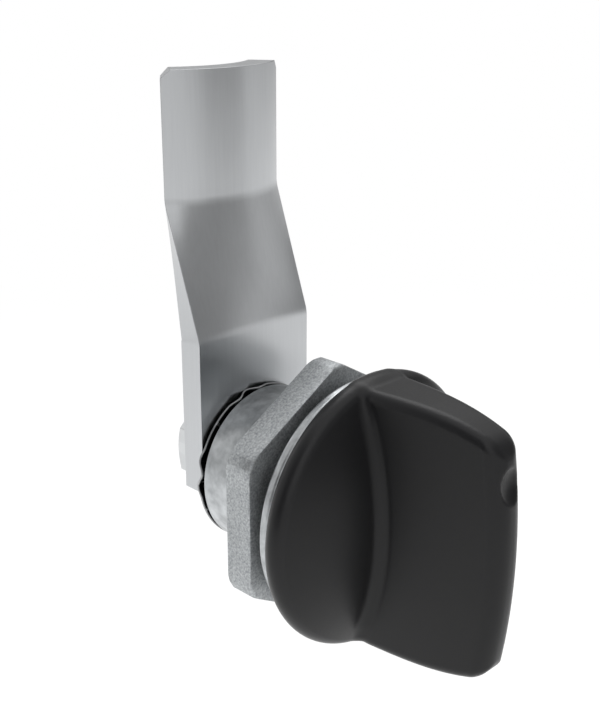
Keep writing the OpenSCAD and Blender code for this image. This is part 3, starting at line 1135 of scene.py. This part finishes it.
@dataclass(frozen=True)
class Softbox:
    """A square area lamp aimed at the latch."""

    name: str
    place_mm: tuple[float, float, float]
    size_mm: float
    watts: float
    mirrored: bool = False

    def build(self, target: Vector) -> None:
        """Makes the lamp.

        Args:
            target: the point that it is aimed at, in metres.
        """
        data = bpy.data.lights.new(self.name, "AREA")
        data.size, data.energy = self.size_mm * MM, self.watts
        lamp = bpy.data.objects.new(self.name, data)
        bpy.context.scene.collection.objects.link(lamp)
        lamp.location = Vector(self.place_mm) * MM
        lamp.rotation_euler = (target - lamp.location).to_track_quat("-Z", "Y").to_euler()
        lamp.visible_glossy = self.mirrored


@dataclass(frozen=True)
class Flag:
    """A grey card that only mirror-like reflections see, as photographers set beside bright metal."""

    name: str
    place_mm: tuple[float, float, float]
    width_mm: float
    height_mm: float
    colour: str

    def build(self, target: Vector) -> None:
        """Makes the card, upright and facing the latch.

        Args:
            target: the point that it faces, in metres.
        """
        x, y = self.width_mm / 2, self.height_mm / 2
        card = solid(self.name, np.array([[-x, -y, 0], [x, -y, 0], [x, y, 0], [-x, y, 0]]), [[0, 1, 2, 3]])
        card.location = Vector(self.place_mm) * MM
        level = Vector((target.x, target.y, card.location.z))
        card.rotation_euler = (level - card.location).to_track_quat("Z", "Y").to_euler()
        material = blank_material(self.name + "_card")
        tree = material.node_tree
        glow = add_node(tree, "ShaderNodeEmission", {"Color": linear(self.colour), "Strength": 1.0})
        add_node(tree, "ShaderNodeOutputMaterial", {"Surface": glow.outputs[0]})
        card.data.materials.append(material)
        card.visible_camera = card.visible_diffuse = card.visible_shadow = False


@dataclass(frozen=True)
class Bowl:
    """A round grey surround that only mirror-like reflections see.

    Each step of the profile has a radius, a height and a level of light.
    """

    name: str
    profile: tuple[tuple[float, float, float], ...]

    def build(self, target: Vector) -> None:
        """Makes the bowl.

        Args:
            target: the point that the rings are centred on, in metres.
        """
        centre = np.array([target.x, target.y, 0]) / MM
        rings = [circle() * radius + centre + [0, 0, height] for radius, height, _ in self.profile]
        points, faces = loft(rings)
        bowl = solid(self.name, points, faces[:-2])
        tone = bowl.data.attributes.new("tone", "FLOAT", "POINT")
        levels = [level for _, _, level in self.profile]
        tone.data.foreach_set("value", np.repeat(levels, ROUND_SIDES).tolist())
        material = blank_material(self.name + "_card")
        tree = material.node_tree
        level = add_node(tree, "ShaderNodeAttribute", attribute_name="tone")
        glow = add_node(
            tree, "ShaderNodeEmission", {"Color": linear(WHITE), "Strength": level.outputs["Fac"]}
        )
        add_node(tree, "ShaderNodeOutputMaterial", {"Surface": glow.outputs[0]})
        bowl.data.materials.append(material)
        bowl.visible_camera = bowl.visible_diffuse = bowl.visible_shadow = False
        bowl.visible_transmission = False


@dataclass
class Studio:
    """A pale floor, soft lamps, a white surround and the camera of the photograph.

    The camera's place, direction and lens were worked out from the photograph's perspective, and the cards
    and the surround were set so that the metal shows the light and dark that it shows there.
    """

    floor_z: float = -62.0
    floor_radius: float = 6000.0
    floor_colour: str = "#F2F2F2"
    shadow_share: float = 0.3
    shadow_fade_mm: tuple[float, float] = (60.0, 320.0)
    fill_level: float = 0.5
    eye: tuple[float, float, float] = (-91.24, -81.65, 61.65)
    look: tuple[float, float, float] = (0.669, 0.66, -0.341)
    up: tuple[float, float, float] = (0.241, 0.241, 0.94)
    lens: float = 57.77
    sensor: float = 36.0
    clip_mm: tuple[float, float] = (10.0, 20000.0)
    target: tuple[float, float, float] = (0.0, 2.0, 12.0)

    softboxes: tuple[Softbox, ...] = (
        Softbox("key_softbox", (-420.0, -300.0, 520.0), 420.0, 5.0),
        Softbox("back_softbox", (243.0, 245.0, 503.0), 340.0, 0.65, mirrored=True),
        Softbox("top_softbox", (60.0, -60.0, 600.0), 380.0, 2.5),
    )
    flags: tuple[Flag, ...] = (
        Flag("left_flag", (-560.0, 0.0, 440.0), 475.0, 1000.0, "#464646"),
        Flag("back_left_flag", (-396.0, 396.0, 440.0), 475.0, 1000.0, "#C3C3C3"),
        Flag("back_right_flag", (375.0, 370.0, 190.0), 480.0, 240.0, "#A8A8A8"),
        Flag("back_left_low_flag", (-380.0, 380.0, 155.0), 475.0, 310.0, "#DFDFDF"),
        Flag("front_flag", (219.0, -515.0, 340.0), 1120.0, 800.0, "#959595"),
        Flag("right_flag", (550.0, 107.0, 127.0), 730.0, 175.0, "#626262"),
    )
    bowl: Bowl = Bowl("low_ring", ((620.0, -61.0, 0.85), (620.0, 0.0, 0.6), (620.0, 60.0, 0.6)))

    def _seen(self, tree: bpy.types.NodeTree) -> bpy.types.NodeSocket:
        """Gives 1 where a camera, mirror or clear ray looks, else 0.

        Args:
            tree: the node tree to add to.

        Returns:
            The socket with that value.
        """
        path = add_node(tree, "ShaderNodeLightPath").outputs
        either = add_node(
            tree, "ShaderNodeMath", {0: path["Is Camera Ray"], 1: path["Is Glossy Ray"]}, operation="MAXIMUM"
        )
        seen = add_node(
            tree,
            "ShaderNodeMath",
            {0: either.outputs[0], 1: path["Is Transmission Ray"]},
            operation="MAXIMUM",
        )
        return seen.outputs[0]

    def _world(self) -> None:
        """Makes the white surround, which lights the latch at a plain level."""
        world = bpy.data.worlds.new("white_surround")
        bpy.context.scene.world = world
        world.use_nodes = True
        tree = world.node_tree
        tree.nodes.clear()
        level = add_node(
            tree,
            "ShaderNodeMapRange",
            {"Value": self._seen(tree), "To Min": self.fill_level, "To Max": 1.0},
        )
        light = add_node(
            tree, "ShaderNodeBackground", {"Color": linear(WHITE), "Strength": level.outputs[0]}
        )
        add_node(tree, "ShaderNodeOutputWorld", {"Surface": light.outputs[0]})

    def _floor(self) -> None:
        """Makes the pale floor, which turns white further out and keeps the latch's shadow."""
        edge = circle() * self.floor_radius
        floor = solid("floor", edge + [0, 0, self.floor_z], [list(range(len(edge)))])
        material = blank_material("paper_pale_matt")
        tree = material.node_tree
        place_on = add_node(tree, "ShaderNodeTexCoord").outputs["Object"]
        flat = add_node(tree, "ShaderNodeVectorMath", {0: place_on, 1: (1.0, 1.0, 0.0)}, operation="MULTIPLY")
        far = add_node(tree, "ShaderNodeVectorMath", {0: flat.outputs[0]}, operation="LENGTH")
        near_m, far_m = (d * MM for d in self.shadow_fade_mm)
        white = add_node(
            tree,
            "ShaderNodeMapRange",
            {
                "Value": far.outputs["Value"],
                "From Min": near_m,
                "From Max": far_m,
                "To Min": 1 - self.shadow_share,
                "To Max": 1.0,
            },
            interpolation_type="SMOOTHSTEP",
        )
        share = add_node(
            tree, "ShaderNodeMath", {0: white.outputs[0], 1: self._seen(tree)}, operation="MULTIPLY"
        )
        paper = add_node(tree, "ShaderNodeBsdfDiffuse", {"Color": linear(self.floor_colour)})
        glow = add_node(tree, "ShaderNodeEmission", {"Color": linear(WHITE), "Strength": 1.0})
        both = add_node(
            tree, "ShaderNodeMixShader", {0: share.outputs[0], 1: paper.outputs[0], 2: glow.outputs[0]}
        )
        add_node(tree, "ShaderNodeOutputMaterial", {"Surface": both.outputs[0]})
        floor.data.materials.append(material)

    def _camera(self) -> None:
        """Sets the camera where the photograph was taken from."""
        data = bpy.data.cameras.new("photo_camera")
        data.sensor_width, data.lens = self.sensor, self.lens
        data.clip_start, data.clip_end = (d * MM for d in self.clip_mm)
        camera = bpy.data.objects.new("photo_camera", data)
        bpy.context.scene.collection.objects.link(camera)
        back = -Vector(self.look).normalized()
        right = Vector(self.up).cross(back).normalized()
        axes = Matrix((right, back.cross(right), back)).transposed().to_4x4()
        camera.matrix_world = Matrix.Translation(Vector(self.eye) * MM) @ axes
        bpy.context.scene.camera = camera

    def build(self) -> None:
        """Sets up the studio."""
        bpy.context.scene.view_settings.view_transform = "Standard"
        self._world()
        self._floor()
        aim = Vector(self.target) * MM
        for thing in (*self.softboxes, *self.flags, self.bowl):
            thing.build(aim)
        self._camera()
        LOG.info("studio has %d lamps and %d flags", len(self.softboxes), len(self.flags))


def main() -> None:
    """Builds the pieces in order and sets up the studio."""
    logging.basicConfig(level=logging.INFO, format="%(name)s: %(message)s")
    for group in (WingKnob(), HexNut(), FormedCam(), WaveWasher(), CamScrew(), CadPieces(), Studio()):
        group.build()


if __name__ == "__main__":
    main()
